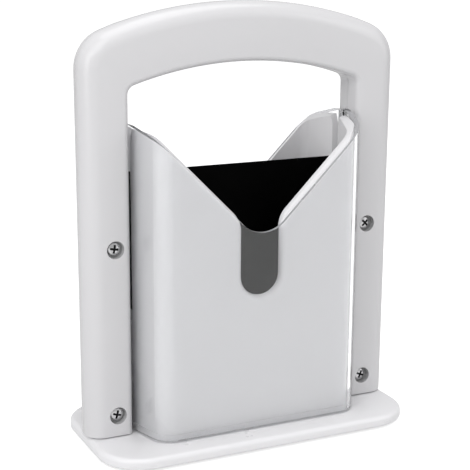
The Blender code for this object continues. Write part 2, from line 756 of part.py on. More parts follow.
def plate_outline(inset):
    x = PLATE_WIDTH / 2 - inset
    y = PLATE_DEPTH / 2 - inset
    corner = PLATE_CORNER - inset
    return fillet_outline(mirrored([(x, -y, corner), (x, y, corner)]), CORNER_STEPS)


def plate_edge(edge):
    if len(edge.link_faces) < 2 or edge.calc_face_angle() < SHARP_ANGLE:
        return 0
    heights = [vertex.co.z for vertex in edge.verts]
    if max(heights) - min(heights) > MERGE:
        return 0
    return 1 if heights[0] > PLATE_BOTTOM + MERGE else PLATE_LOWER_ROUND / PLATE_TOP_ROUND


def plate_hollow():
    """Hollow under the plate, with ribs, foot pads and screw bosses left standing."""
    top = PLATE_TOP - PLATE_SKIN
    hollow = plan_solid("plate_hollow", [plate_outline(PLATE_RIM)], PLATE_BOTTOM - OVERRUN, top)
    low_z = PLATE_BOTTOM - 2 * OVERRUN
    high_z = PLATE_TOP
    reach_x = PLATE_WIDTH / 2
    reach_y = PLATE_DEPTH / 2
    for share in PLATE_RIB_SHARES:
        x = reach_x * share
        low = (x - PLATE_RIB / 2, -reach_y, low_z)
        high = (x + PLATE_RIB / 2, reach_y, high_z)
        cut(hollow, box("cross_rib", low, high))
    cut(hollow, box("long_rib", (-reach_x, -PLATE_RIB / 2, low_z), (reach_x, PLATE_RIB / 2, high_z)))
    for hand in (-1, 1):
        for side in (-1, 1):
            foot = (hand * FOOT_X, side * FOOT_Y)
            screw = (hand * BASE_SCREW_X, side * BASE_SCREW_Y)
            cut(hollow, rod("foot_pad", PAD_RADIUS, (*foot, low_z), (*foot, high_z)))
            boss_radius = SCREW_HEAD_RADIUS + FIT_GAP + BOSS_WALL
            cut(hollow, rod("screw_pad", boss_radius, (*screw, low_z), (*screw, high_z)))
    return hollow


def base_plate():
    item = plan_solid("base_plate", [plate_outline(0)], PLATE_BOTTOM, PLATE_TOP)
    round_edges(item, plate_edge, PLATE_TOP_ROUND, RIM_STEPS)
    cut(item, plate_hollow())
    for hand in (-1, 1):
        for side in (-1, 1):
            foot = (hand * FOOT_X, side * FOOT_Y)
            screw = (hand * BASE_SCREW_X, side * BASE_SCREW_Y)
            low_z = PLATE_BOTTOM - OVERRUN
            seat_top = PLATE_BOTTOM + FOOT_SEAT + FIT_GAP
            cut(item, rod("foot_seat", FOOT_RADIUS + FIT_GAP, (*foot, low_z), (*foot, seat_top), SHOWN_SIDES))
            head_radius = SCREW_HEAD_RADIUS + FIT_GAP
            cut(item, rod("head_seat", head_radius, (*screw, low_z), (*screw, BASE_SEAT_Z)))
            high_z = PLATE_TOP + OVERRUN
            cut(item, rod("base_hole", CLEARANCE_HOLE_RADIUS, (*screw, low_z), (*screw, high_z)))
    return item


def foot_mesh():
    """Rubber foot with a rounded lower edge, standing on local z = 0."""
    top = FOOT_DROP + FOOT_SEAT
    profile = [(0, top), (FOOT_RADIUS, top)]
    for step in range(FOOT_EDGE_STEPS + 1):
        turn = QUARTER_TURN * step / FOOT_EDGE_STEPS
        radius = FOOT_RADIUS - FOOT_EDGE * (1 - math.cos(turn))
        profile.append((radius, FOOT_EDGE * (1 - math.sin(turn))))
    profile.append((0, 0))
    return mesh_only(turned_solid("foot", profile, SHOWN_SIDES))


# Assembly

clear_scene()
PARTS = new_collection("bagel_guillotine_slicer")
CUTTERS = new_collection("cutters")

WHITE_PLASTIC = new_material("white_plastic", (0.80, 0.80, 0.81), 0.28, 0.0, 0.0)
CLEAR_PLASTIC = new_material("clear_plastic", (0.95, 0.96, 0.97), 0.05, 0.0, 1.0)
BLACK_COATING = new_material("black_coating", (0.012, 0.012, 0.013), 0.35, 0.0, 0.0)
SCREW_STEEL = new_material("screw_steel", (0.62, 0.62, 0.63), 0.28, 1.0, 0.0)
FOOT_RUBBER = new_material("foot_rubber", (0.22, 0.22, 0.23), 0.75, 0.0, 0.0)

base_axis = bpy.data.objects.new("fixed_base", None)
carriage_axis = bpy.data.objects.new("carriage_slide", None)
PARTS.objects.link(base_axis)
PARTS.objects.link(carriage_axis)

finish_part(frame_shell("front_shell", -1), WHITE_PLASTIC, carriage_axis)
finish_part(frame_shell("rear_shell", 1), WHITE_PLASTIC, carriage_axis)
finish_part(shield("front_shield", -1), CLEAR_PLASTIC, carriage_axis)
finish_part(shield("rear_shield", 1), CLEAR_PLASTIC, carriage_axis)
finish_part(blade(), BLACK_COATING, carriage_axis)
finish_part(holder(), WHITE_PLASTIC, base_axis)
finish_part(cradle(), WHITE_PLASTIC, base_axis)
finish_part(base_plate(), WHITE_PLASTIC, base_axis)

SIDE_NAMES = {-1: "left", 1: "right"}
END_NAMES = {-1: "front", 1: "rear"}

frame_screw = screw_mesh("frame_screw", STACK_Y + SCREW_BITE - SEAT_Y + FIT_GAP)
screw_turns = iter(SCREW_TURN_SHARES)
for hand, side_name in SIDE_NAMES.items():
    for height, height_name in ((SCREW_LOWER_Z, "lower"), (SCREW_UPPER_Z, "upper")):
        item = new_object(f"frame_screw_{side_name}_{height_name}", frame_screw)
        item.location = (hand * SCREW_X, SEAT_Y - FIT_GAP, height)
        item.rotation_euler = (QUARTER_TURN, QUARTER_TURN * next(screw_turns), 0)
        finish_part(item, SCREW_STEEL, carriage_axis)

base_screw = screw_mesh("base_screw", BASE_SCREW_REACH_Z - BASE_SEAT_Z + FIT_GAP)
foot = foot_mesh()
for hand, side_name in SIDE_NAMES.items():
    for side, end_name in END_NAMES.items():
        item = new_object(f"base_screw_{side_name}_{end_name}", base_screw)
        item.location = (hand * BASE_SCREW_X, side * BASE_SCREW_Y, BASE_SEAT_Z - FIT_GAP)
        item.rotation_euler = (2 * QUARTER_TURN, 0, 0)
        finish_part(item, SCREW_STEEL, base_axis)
        item = new_object(f"foot_{side_name}_{end_name}", foot)
        item.location = (hand * FOOT_X, side * FOOT_Y, 0)
        finish_part(item, FOOT_RUBBER, base_axis)
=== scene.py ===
"""Looks of the bagel guillotine slicer: fine meshes, materials, light and camera."""

import math

import bmesh
import bpy
from mathutils import Matrix, Vector


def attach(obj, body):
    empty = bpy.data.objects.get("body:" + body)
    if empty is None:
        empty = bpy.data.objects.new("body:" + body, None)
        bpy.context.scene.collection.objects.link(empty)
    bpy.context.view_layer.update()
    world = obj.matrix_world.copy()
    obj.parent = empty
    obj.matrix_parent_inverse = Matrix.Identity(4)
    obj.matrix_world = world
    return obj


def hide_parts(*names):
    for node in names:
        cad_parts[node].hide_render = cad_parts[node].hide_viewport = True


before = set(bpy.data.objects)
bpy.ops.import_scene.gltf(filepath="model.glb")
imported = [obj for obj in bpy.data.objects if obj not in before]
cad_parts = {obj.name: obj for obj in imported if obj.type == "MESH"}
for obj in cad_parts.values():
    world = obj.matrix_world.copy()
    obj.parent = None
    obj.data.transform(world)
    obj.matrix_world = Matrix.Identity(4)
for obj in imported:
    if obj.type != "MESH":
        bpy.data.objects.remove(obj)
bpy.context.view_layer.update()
CARRIAGE = "carriage"
BASE = "holder_and_base"

# Sizes, in metres, the same as the CAD model's

HEIGHT = 0.235
FRAME_WIDTH = 0.182
FIT_GAP = 0.0003
LEG_INNER_X = 0.0665
HALF_DEPTH = 0.0105
GRIP_INNER_RADIUS = 0.204
FRAME_CORNER = 0.021
OPENING_CORNER = 0.005
OUTER_ROUND = 0.0092
INNER_ROUND = 0.003
SEAM_GAP = 0.0003
LEG_BOTTOM = 0.0087
SCREW_X = 0.075
SCREW_HEIGHTS = (0.020, 0.11049)
COUNTERBORE_RADIUS = 0.0047
SEAT_Y = -0.0062
SCREW_HEAD_RADIUS = 0.0034
SCREW_HEAD_HEIGHT = 0.0021
SCREW_HEAD_DOME = 0.0007
SCREW_SHANK_RADIUS = 0.0016
SCREW_TIP = 0.0022
SCREW_CROSS_LENGTH = 0.0046
SCREW_CROSS_WIDTH = 0.0012
SCREW_CROSS_DEPTH = 0.0012
SCREW_TURN_SHARES = (0.17, 0.11, 0.25, 0.5)
FRAME_SCREW_REACH = 0.0133
BASE_SCREW_REACH = 0.0182
BASE_SCREW_X = 0.045
BASE_SCREW_Y = 0.0209
SHIELD_DEPTH = 0.031
SHIELD_SIDE_X = 0.0668
SIDE_SLOPE = 0.28
SHIELD_CORNER = 0.012
SHIELD_WALL = 0.002
SHIELD_FLANGE_X = 0.082
SHIELD_BOTTOM = 0.009
SHIELD_TOP = 0.174
SHIELD_NOTCH_Z = 0.110
SHIELD_VALLEY_ROUND = 0.017
FLANGE_NEAR_Y = 0.0009
FLANGE_FAR_Y = 0.0029
STACK_Y = 0.0032
HOLDER_INSET = 0.003
HOLDER_WALL = 0.0036
HOLDER_BOTTOM = 0.0083
HOLDER_TOP = 0.1715
HOLDER_TOP_RISE = 0.0005
HOLDER_NOTCH_Z = 0.1123
HOLDER_SHOULDER_ROUND = 0.008
HOLDER_RIM_ROUND = 0.0034
FINGER_SLOT_WIDTH = 0.0226
FINGER_SLOT_BOTTOM = 0.082
FINGER_SLOT_MOUTH_ROUND = 0.014
HOLDER_BAND_HEIGHT = 0.0035
HOLDER_BAND_PROUD = 0.0005
GUIDE_HALF_WIDTH = 0.0033
GUIDE_BOTTOM = 0.067
GUIDE_LEAD = 0.005
GUIDE_MOUTH = 0.0094
PLATE_WIDTH = 0.181
PLATE_DEPTH = 0.090
PLATE_CORNER = 0.024
PLATE_BOTTOM = 0.002
PLATE_TOP = 0.008
PLATE_TOP_ROUND = 0.0025
PLATE_LOWER_ROUND = 0.0013
PLATE_RIM = 0.0035
PLATE_SKIN = 0.0028
PLATE_RIB = 0.0018
PLATE_RIB_SHARES = (-0.66, -0.33, 0, 0.33, 0.66)
PAD_RADIUS = 0.0085
FOOT_X = 0.072
FOOT_Y = 0.031
FOOT_RADIUS = 0.0065
FOOT_SEAT = 0.0012
BOSS_WALL = 0.0017
SLOPE_STRETCH = math.hypot(1, SIDE_SLOPE)

# Sizes, in metres, of forms that only the scene has

EDGE_BREAK = 0.0003
SCREW_HEAD_ROUND = 0.0004

# Cutters and fineness: how far a cutter runs past a face, how near two points count as one, steps
# of an arc, sides of a round, segments of a rounded edge, and limits of angle

OVERRUN = 0.004
MERGE = 0.00001
ARCH_POINTS = 29
FRAME_STEPS = 12
WALL_STEPS = 10
VALLEY_STEPS = 20
HOLDER_STEPS = 16
GUIDE_STEPS = 8
PLATE_STEPS = 24
ROUND_SIDES = 48
COUNTERBORE_SIDES = 64
FRAME_SEGMENTS = 10
RIM_SEGMENTS = 8
PLATE_SEGMENTS = 8
BREAK_SEGMENTS = 2
HEAD_DOME_SHARES = (0, 0.2, 0.4, 0.6, 0.75, 0.88)
HEAD_ROUND_STEPS = 4
FLAT_ANGLE = math.radians(0.5)
SHARP_ANGLE = math.radians(32)
QUARTER_TURN = math.radians(90)
BREAK_ANGLE = math.radians(35)
WALL_LEAN = 0.2
RIM_LEAN = 0.5

CUTTERS = bpy.data.collections.new("scene_cutters")
PIECES = bpy.data.collections.new("scene_pieces")
bpy.context.scene.collection.children.link(CUTTERS)
bpy.context.scene.collection.children.link(PIECES)


# Outlines and solids

def fillet_outline(corners, steps):
    """Round each corner (x, y, radius) of a closed outline with an arc of so many steps."""
    points = []
    count = len(corners)
    for index, (x, y, radius) in enumerate(corners):
        here = Vector((x, y))
        if radius <= 0:
            points.append((x, y))
            continue
        before = (Vector(corners[index - 1][:2]) - here).normalized()
        after = (Vector(corners[(index + 1) % count][:2]) - here).normalized()
        half = before.angle(after) / 2
        centre = here + (before + after).normalized() * radius / math.sin(half)
        start = here + before * radius / math.tan(half) - centre
        sweep = start.angle_signed(here + after * radius / math.tan(half) - centre)
        for step in range(steps + 1):
            turn = Matrix.Rotation(-sweep * step / steps, 2)
            points.append(tuple(centre + turn @ start))
    return points


def mirrored(corners):
    """Close a half outline with its mirror image in the plane x = 0."""
    return corners + [(-x, y, radius) for x, y, radius in reversed(corners)]


def new_object(name, mesh):
    item = bpy.data.objects.new(name, mesh)
    CUTTERS.objects.link(item)
    item.hide_render = True
    return item


def flat_solid(name, outline, thickness, placing):
    """Fill a closed outline, give it a thickness and place the result."""
    curve = bpy.data.curves.new(name, "CURVE")
    curve.dimensions = "2D"
    curve.fill_mode = "BOTH"
    curve.extrude = thickness / 2
    spline = curve.splines.new("POLY")
    spline.points.add(len(outline) - 1)
    for point, (x, y) in zip(spline.points, outline):
        point.co = (x, y, 0, 1)
    spline.use_cyclic_u = True
    guide = bpy.data.objects.new(name, curve)
    CUTTERS.objects.link(guide)
    bpy.context.view_layer.update()
    evaluated = guide.evaluated_get(bpy.context.evaluated_depsgraph_get())
    mesh = bpy.data.meshes.new_from_object(evaluated)
    bpy.data.objects.remove(guide, do_unlink=True)
    work = bmesh.new()
    work.from_mesh(mesh)
    bmesh.ops.remove_doubles(work, verts=work.verts, dist=MERGE)
    work.transform(placing)
    bmesh.ops.recalc_face_normals(work, faces=work.faces)
    if work.calc_volume(signed=True) < 0:
        bmesh.ops.reverse_faces(work, faces=work.faces)
    work.to_mesh(mesh)
    work.free()
    return new_object(name, mesh)


def upright_solid(name, outline, front, back):
    """Solid with an outline in x and z, from one y to another."""
    turn = Matrix(((1, 0, 0, 0), (0, 0, 1, (front + back) / 2), (0, 1, 0, 0), (0, 0, 0, 1)))
    return flat_solid(name, outline, back - front, turn)


def plan_solid(name, outline, bottom, top):
    """Solid with an outline in x and y, from one z to another."""
    return flat_solid(name, outline, top - bottom, Matrix.Translation((0, 0, (bottom + top) / 2)))


def box(name, low, high):
    """Block between two opposite corners."""
    work = bmesh.new()
    bmesh.ops.create_cube(work, size=1)
    middle = (Vector(low) + Vector(high)) / 2
    size = Vector(high) - Vector(low)
    work.transform(Matrix.Translation(middle) @ Matrix.Diagonal((*size, 1)))
    mesh = bpy.data.meshes.new(name)
    work.to_mesh(mesh)
    work.free()
    return new_object(name, mesh)


def rod(name, radius, start, end, sides=ROUND_SIDES):
    """Round bar between the middles of its two ends."""
    start = Vector(start)
    end = Vector(end)
    axis = end - start
    work = bmesh.new()
    bmesh.ops.create_cone(
        work, cap_ends=True, segments=sides, radius1=radius, radius2=radius, depth=axis.length
    )
    turn = axis.to_track_quat("Z", "Y").to_matrix().to_4x4()
    work.transform(Matrix.Translation((start + end) / 2) @ turn)
    mesh = bpy.data.meshes.new(name)
    work.to_mesh(mesh)
    work.free()
    return new_object(name, mesh)


def settle(item):
    """Turn an object's modifiers into its mesh and weld points that coincide."""
    bpy.context.view_layer.update()
    evaluated = item.evaluated_get(bpy.context.evaluated_depsgraph_get())
    mesh = bpy.data.meshes.new_from_object(evaluated)
    work = bmesh.new()
    work.from_mesh(mesh)
    bmesh.ops.remove_doubles(work, verts=work.verts, dist=MERGE / 10)
    work.to_mesh(mesh)
    work.free()
    item.modifiers.clear()
    item.data = mesh
    return item


def combine(item, tools, operation):
    for tool in tools:
        change = item.modifiers.new(operation.title(), "BOOLEAN")
        change.operation = operation
        change.solver = "EXACT"
        change.object = tool
        settle(item)
        bpy.data.objects.remove(tool, do_unlink=True)
    return item


def cut(item, *tools):
    return combine(item, tools, "DIFFERENCE")


def join(item, *tools):
    return combine(item, tools, "UNION")


def keep_inside(item, *tools):
    return combine(item, tools, "INTERSECT")


def round_edges(item, chooser, width, segments):
    """Round the edges for which chooser gives a share of the width."""
    work = bmesh.new()
    work.from_mesh(item.data)
    bmesh.ops.dissolve_limit(work, angle_limit=FLAT_ANGLE, verts=work.verts, edges=work.edges)
    layer = work.edges.layers.float.new("bevel_weight_edge")
    for edge in work.edges:
        edge[layer] = chooser(edge)
    work.to_mesh(item.data)
    work.free()
    bevel = item.modifiers.new("Rounding", "BEVEL")
    bevel.limit_method = "WEIGHT"
    bevel.offset_type = "OFFSET"
    bevel.width = width
    bevel.segments = segments
    bevel.use_clamp_overlap = False
    return settle(item)


def soften(item):
    """Break every sharp edge with a fine rounding."""
    bevel = item.modifiers.new("Edge softening", "BEVEL")
    bevel.limit_method = "ANGLE"
    bevel.angle_limit = BREAK_ANGLE
    bevel.width = EDGE_BREAK
    bevel.segments = BREAK_SEGMENTS
    bevel.harden_normals = True
    return item


def dress(item, main, other=None, chooser=None):
    """Give a mesh its main material, and the other one where chooser says so."""
    item.data.materials.clear()
    item.data.materials.append(main)
    if other:
        item.data.materials.append(other)
    for face in item.data.polygons:
        face.material_index = 1 if other and chooser(face) else 0
    return item


def show(item, body, slot, *nodes):
    """Put a dressed mesh on its body and let it stand for its CAD nodes."""
    CUTTERS.objects.unlink(item)
    PIECES.objects.link(item)
    item.hide_render = False
    item.data.shade_smooth()
    item.data.set_sharp_from_angle(angle=SHARP_ANGLE)
    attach(item, body)
    if nodes:
        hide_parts(*nodes)
    return item


# Materials

# Range of a noise that is led to a socket; what lies outside it gets the end values
NOISE_LOW = 0.3
NOISE_HIGH = 0.7


def shader_of(material):
    return material.node_tree.nodes["Principled BSDF"]


def new_material(name, colour, roughness, metallic=0.0):
    material = bpy.data.materials.new(name)
    material.use_nodes = True
    shader = shader_of(material)
    shader.inputs["Base Color"].default_value = (*colour, 1)
    shader.inputs["Roughness"].default_value = roughness
    shader.inputs["Metallic"].default_value = metallic
    return material


def noise(material, scale, detail, stretch=(1, 1, 1)):
    """Value of a noise that is fixed to the piece, with so many cells a metre."""
    nodes = material.node_tree.nodes
    links = material.node_tree.links
    place = nodes.new("ShaderNodeTexCoord")
    turn = nodes.new("ShaderNodeMapping")
    turn.inputs["Scale"].default_value = stretch
    grain = nodes.new("ShaderNodeTexNoise")
    grain.inputs["Scale"].default_value = scale
    grain.inputs["Detail"].default_value = detail
    links.new(place.outputs["Object"], turn.inputs["Vector"])
    links.new(turn.outputs["Vector"], grain.inputs["Vector"])
    return grain.outputs["Fac"]


def spread(material, value, low, high, socket):
    """Lead a noise to a socket as a number from low to high."""
    nodes = material.node_tree.nodes
    ramp = nodes.new("ShaderNodeMapRange")
    ramp.inputs["From Min"].default_value = NOISE_LOW
    ramp.inputs["From Max"].default_value = NOISE_HIGH
    ramp.inputs["To Min"].default_value = low
    ramp.inputs["To Max"].default_value = high
    material.node_tree.links.new(value, ramp.inputs["Value"])
    material.node_tree.links.new(ramp.outputs["Result"], shader_of(material).inputs[socket])


def tint(material, value, low, high):
    """Lead a noise to the base colour as a colour from low to high."""
    nodes = material.node_tree.nodes
    ramp = nodes.new("ShaderNodeValToRGB")
    ends = ramp.color_ramp.elements
    for end, position, colour in zip(ends, (NOISE_LOW, NOISE_HIGH), (low, high)):
        end.position = position
        end.color = (*colour, 1)
    material.node_tree.links.new(value, ramp.inputs["Fac"])
    material.node_tree.links.new(ramp.outputs["Color"], shader_of(material).inputs["Base Color"])


def bump(material, value, depth):
    """Lead a noise to the surface as a relief of so many metres."""
    nodes = material.node_tree.nodes
    relief = nodes.new("ShaderNodeBump")
    relief.inputs["Distance"].default_value = depth
    relief.inputs["Strength"].default_value = 1.0
    material.node_tree.links.new(value, relief.inputs["Height"])
    material.node_tree.links.new(relief.outputs["Normal"], shader_of(material).inputs["Normal"])


def white_plastic(name, low, high, roughness):
    """Glossy moulded plastic with a faint cloudiness, wear and moulding grain."""
    material = new_material(name, high, roughness)
    tint(material, noise(material, scale=9.0, detail=3.0), low, high)
    wear = noise(material, scale=60.0, detail=6.0)
    spread(material, wear, roughness - 0.01, roughness + 0.03, "Roughness")
    bump(material, noise(material, scale=420.0, detail=3.0), depth=0.000004)
    return material


def clear_plastic(name, colour, transmission, rough_low, rough_high):
    """Acrylic with faint smears and the slow waves of its moulding, long in z."""
    material = new_material(name, colour, rough_high)
    shader = shader_of(material)
    shader.inputs["Transmission Weight"].default_value = transmission
    shader.inputs["IOR"].default_value = 1.49
    spread(material, noise(material, scale=35.0, detail=6.0), rough_low, rough_high, "Roughness")
    waves = noise(material, scale=14.0, detail=2.0, stretch=(1, 1, 0.3))
    bump(material, waves, depth=0.00004)
    return material


def black_coating():
    """Matt non-stick coating with a sprayed grain."""
    material = new_material("black_coating_look", (0.001, 0.001, 0.001), 0.60)
    shader_of(material).inputs["Specular IOR Level"].default_value = 0.02
    tone = noise(material, scale=40.0, detail=4.0)
    tint(material, tone, (0.0005, 0.0005, 0.0006), (0.0014, 0.0014, 0.0015))
    spread(material, noise(material, scale=150.0, detail=5.0), 0.48, 0.62, "Roughness")
    bump(material, noise(material, scale=2500.0, detail=2.0), depth=0.00002)
    return material


def screw_steel(name, low, high):
    """Plated steel with fine scratches."""
    material = new_material(name, high, 0.28, metallic=1.0)
    tint(material, noise(material, scale=300.0, detail=4.0), low, high)
    spread(material, noise(material, scale=900.0, detail=4.0), 0.20, 0.38, "Roughness")
    bump(material, noise(material, scale=1600.0, detail=3.0), depth=0.00001)
    return material


def foot_rubber():
    """Dull grey rubber."""
    material = new_material("foot_rubber_look", (0.16, 0.16, 0.17), 0.75)
    tone = noise(material, scale=90.0, detail=4.0)
    tint(material, tone, (0.13, 0.13, 0.14), (0.19, 0.19, 0.20))
    spread(material, noise(material, scale=400.0, detail=3.0), 0.62, 0.85, "Roughness")
    bump(material, noise(material, scale=1800.0, detail=3.0), depth=0.00006)
    return material


WHITE = white_plastic("white_plastic_look", (0.675, 0.67, 0.684), (0.690, 0.685, 0.699), 0.22)
HOLDER_WHITE = white_plastic("holder_plastic_look", (0.75, 0.745, 0.76), (0.77, 0.765, 0.78), 0.30)
BASE_WHITE = white_plastic("base_plastic_look", (0.82, 0.815, 0.832), (0.84, 0.835, 0.852), 0.28)
# Darker white for the frame screws' counterbores: painted shade where little light reaches into
# the deep holes
SHADED_WHITE = white_plastic("counterbore_look", (0.42, 0.42, 0.425), (0.50, 0.50, 0.505), 0.45)
CLEAR = clear_plastic("clear_plastic_look", (0.97, 0.975, 0.98), 1.0, 0.015, 0.06)
CLEAR_RIM = clear_plastic("clear_rim_look", (0.60, 0.60, 0.62), 0.35, 0.20, 0.40)
BLACK = black_coating()
STEEL = screw_steel("screw_steel_look", (0.62, 0.62, 0.63), (0.78, 0.78, 0.79))
# Near-black steel for the screws' cross recesses: painted shade in the deep recesses
SHADED_STEEL = screw_steel("screw_cross_painted_shade_look", (0.010, 0.010, 0.011), (0.03, 0.03, 0.032))
RUBBER = foot_rubber()


# Arched handle frame

def arch_solid(name, front, back, rounded_y):
    """Arch with two legs, its edges in the plane y = rounded_y rounded."""
    outer_x = FRAME_WIDTH / 2
    opening_z = math.sqrt(GRIP_INNER_RADIUS ** 2 - LEG_INNER_X ** 2)
    shares = [(2 * step + 1) / (2 * ARCH_POINTS - 1) for step in range(ARCH_POINTS)]
    right = []
    for share in shares:
        x = (outer_x - FRAME_CORNER) * share
        right.append((x, math.sqrt(HEIGHT ** 2 - x ** 2), 0))
    right.append((outer_x, math.sqrt(HEIGHT ** 2 - outer_x ** 2), FRAME_CORNER))
    right.append((outer_x, LEG_BOTTOM, 0))
    right.append((LEG_INNER_X, LEG_BOTTOM, 0))
    right.append((LEG_INNER_X, opening_z, OPENING_CORNER))
    for share in reversed(shares):
        x = (LEG_INNER_X - OPENING_CORNER) * share
        right.append((x, math.sqrt(GRIP_INNER_RADIUS ** 2 - x ** 2), 0))
    item = upright_solid(name, fillet_outline(mirrored(right), FRAME_STEPS), front, back)
    middle_radius = (HEIGHT + GRIP_INNER_RADIUS) / 2
    middle_x = (outer_x + LEG_INNER_X) / 2

    def chooser(edge):
        first, second = (vertex.co for vertex in edge.verts)
        if abs(first.y - rounded_y) > MERGE or abs(second.y - rounded_y) > MERGE:
            return 0
        if len(edge.link_faces) < 2 or edge.calc_face_angle() < SHARP_ANGLE:
            return 0
        middle = (first + second) / 2
        if abs(middle.z - LEG_BOTTOM) < MERGE:
            return 0
        outside = abs(middle.x) > middle_x or math.hypot(middle.x, middle.z) > middle_radius
        return 1 if outside else INNER_ROUND / OUTER_ROUND

    return round_edges(item, chooser, OUTER_ROUND, FRAME_SEGMENTS)


def frame_shell(name, side):
    """Front (side -1) or rear half of the handle frame, with room for the shields' flanges."""
    face_y = side * HALF_DEPTH
    front, back = sorted((face_y, side * SEAM_GAP / 2))
    shell = arch_solid(name, front, back, face_y)
    for hand in (-1, 1):
        stack_x = sorted((hand * (LEG_INNER_X - OVERRUN), hand * (SHIELD_FLANGE_X + FIT_GAP)))
        stack_y = sorted((-side * OVERRUN, side * STACK_Y))
        low = (stack_x[0], stack_y[0], LEG_BOTTOM - OVERRUN)
        high = (stack_x[1], stack_y[1], SHIELD_TOP + FIT_GAP)
        cut(shell, box("stack_recess", low, high))
        if side < 0:
            for height in SCREW_HEIGHTS:
                mouth = (hand * SCREW_X, face_y - OVERRUN, height)
                seat = (hand * SCREW_X, SEAT_Y, height)
                cut(shell, rod("counterbore", COUNTERBORE_RADIUS, mouth, seat, COUNTERBORE_SIDES))
    return shell


# Clear shields

def shield(name, side):
    """Clear wall with two sloping sides, flanges and a V in its upper edge."""
    outer_x = SHIELD_SIDE_X - SIDE_SLOPE * FLANGE_FAR_Y
    inner_side = SHIELD_SIDE_X - SHIELD_WALL * SLOPE_STRETCH
    inner_x = inner_side - SIDE_SLOPE * FLANGE_NEAR_Y
    inner_front = SHIELD_DEPTH - SHIELD_WALL
    half = [
        (inner_side - SIDE_SLOPE * inner_front, inner_front, SHIELD_CORNER - SHIELD_WALL),
        (inner_x, FLANGE_NEAR_Y, 0),
        (SHIELD_FLANGE_X, FLANGE_NEAR_Y, 0),
        (SHIELD_FLANGE_X, FLANGE_FAR_Y, 0),
        (outer_x, FLANGE_FAR_Y, 0),
        (SHIELD_SIDE_X - SIDE_SLOPE * SHIELD_DEPTH, SHIELD_DEPTH, SHIELD_CORNER),
    ]
    outline = [(x, side * y, radius) for x, y, radius in mirrored(half)]
    item = plan_solid(name, fillet_outline(outline, WALL_STEPS), SHIELD_BOTTOM, SHIELD_TOP)
    reach_x = SHIELD_FLANGE_X + OVERRUN
    notch = [
        (reach_x, SHIELD_NOTCH_Z + reach_x, 0),
        (0, SHIELD_NOTCH_Z, SHIELD_VALLEY_ROUND),
        (-reach_x, SHIELD_NOTCH_Z + reach_x, 0),
    ]
    front, back = sorted((side * (SHIELD_DEPTH + OVERRUN), 0))
    cut(item, upright_solid("shield_notch", fillet_outline(notch, VALLEY_STEPS), front, back))
    return item


# Bagel holder

def sleeve_outline(inset):
    """Six-cornered plan of the shields' outer faces, drawn in by so much."""
    side_x = SHIELD_SIDE_X - inset * SLOPE_STRETCH
    front_y = SHIELD_DEPTH - inset
    corner_x = side_x - SIDE_SLOPE * front_y
    corner_round = max(SHIELD_CORNER - inset, FIT_GAP)
    half = [(corner_x, front_y, corner_round), (side_x, 0, 0), (corner_x, -front_y, corner_round)]
    return fillet_outline(mirrored(half), WALL_STEPS)


def holder_rim(edge):
    """Share of the rim's rounding that an edge of the holder's block gets."""
    if len(edge.link_faces) < 2 or edge.calc_face_angle() < SHARP_ANGLE:
        return 0
    first, second = (vertex.co for vertex in edge.verts)
    if abs(first.y - second.y) > MERGE or min(first.z, second.z) < FINGER_SLOT_BOTTOM - MERGE:
        return 0
    return 1 if min(abs(first.x), abs(second.x)) < SHIELD_SIDE_X else 0


def holder():
    """Open walls with V rims, finger slots, a band at the foot and guide slots for the blade."""
    slot_x = FINGER_SLOT_WIDTH / 2
    shoulder_x = HOLDER_TOP - HOLDER_NOTCH_Z
    wide_x = SHIELD_SIDE_X + OVERRUN
    half = [
        (slot_x, FINGER_SLOT_BOTTOM, slot_x - MERGE),
        (slot_x, HOLDER_NOTCH_Z + slot_x, FINGER_SLOT_MOUTH_ROUND),
        (shoulder_x, HOLDER_TOP, HOLDER_SHOULDER_ROUND),
        (wide_x, HOLDER_TOP + HOLDER_TOP_RISE, 0),
        (wide_x, HOLDER_BOTTOM - OVERRUN, 0),
    ]
    reach = SHIELD_DEPTH - HOLDER_INSET
    profile = fillet_outline(mirrored(half), HOLDER_STEPS)
    item = upright_solid("holder_walls", profile, -reach, reach)
    round_edges(item, holder_rim, HOLDER_RIM_ROUND, RIM_SEGMENTS)
    outer = sleeve_outline(HOLDER_INSET)
    low_z = HOLDER_BOTTOM - 2 * OVERRUN
    keep_inside(item, plan_solid("holder_outside", outer, low_z, HOLDER_TOP + OVERRUN))
    band = sleeve_outline(HOLDER_INSET - HOLDER_BAND_PROUD)
    join(item, plan_solid("holder_band", band, low_z, HOLDER_BOTTOM + HOLDER_BAND_HEIGHT))
    inner = sleeve_outline(HOLDER_INSET + HOLDER_WALL)
    cut(item, plan_solid("holder_inside", inner, low_z - OVERRUN, HOLDER_TOP + 2 * OVERRUN))
    guide = [
        (GUIDE_HALF_WIDTH, GUIDE_BOTTOM, GUIDE_HALF_WIDTH - MERGE),
        (GUIDE_HALF_WIDTH, HOLDER_TOP - GUIDE_LEAD, 0),
        (GUIDE_MOUTH / 2, HOLDER_TOP, 0),
        (GUIDE_MOUTH / 2, HOLDER_TOP + OVERRUN, 0),
    ]
    turn = Matrix(((0, 0, 1, 0), (1, 0, 0, 0), (0, 1, 0, 0), (0, 0, 0, 1)))
    slots = fillet_outline(mirrored(guide), GUIDE_STEPS)
    cut(item, flat_solid("guide_slots", slots, 2 * wide_x, turn))
    low = (-wide_x, -SHIELD_DEPTH, low_z - 2 * OVERRUN)
    cut(item, box("holder_trim", low, (wide_x, SHIELD_DEPTH, HOLDER_BOTTOM)))
    return item


# Base plate

def plate_outline(inset):
    """Rounded plan of the base plate, drawn in by so much."""
    x = PLATE_WIDTH / 2 - inset
    y = PLATE_DEPTH / 2 - inset
    corner = PLATE_CORNER - inset
    return fillet_outline(mirrored([(x, -y, corner), (x, y, corner)]), PLATE_STEPS)


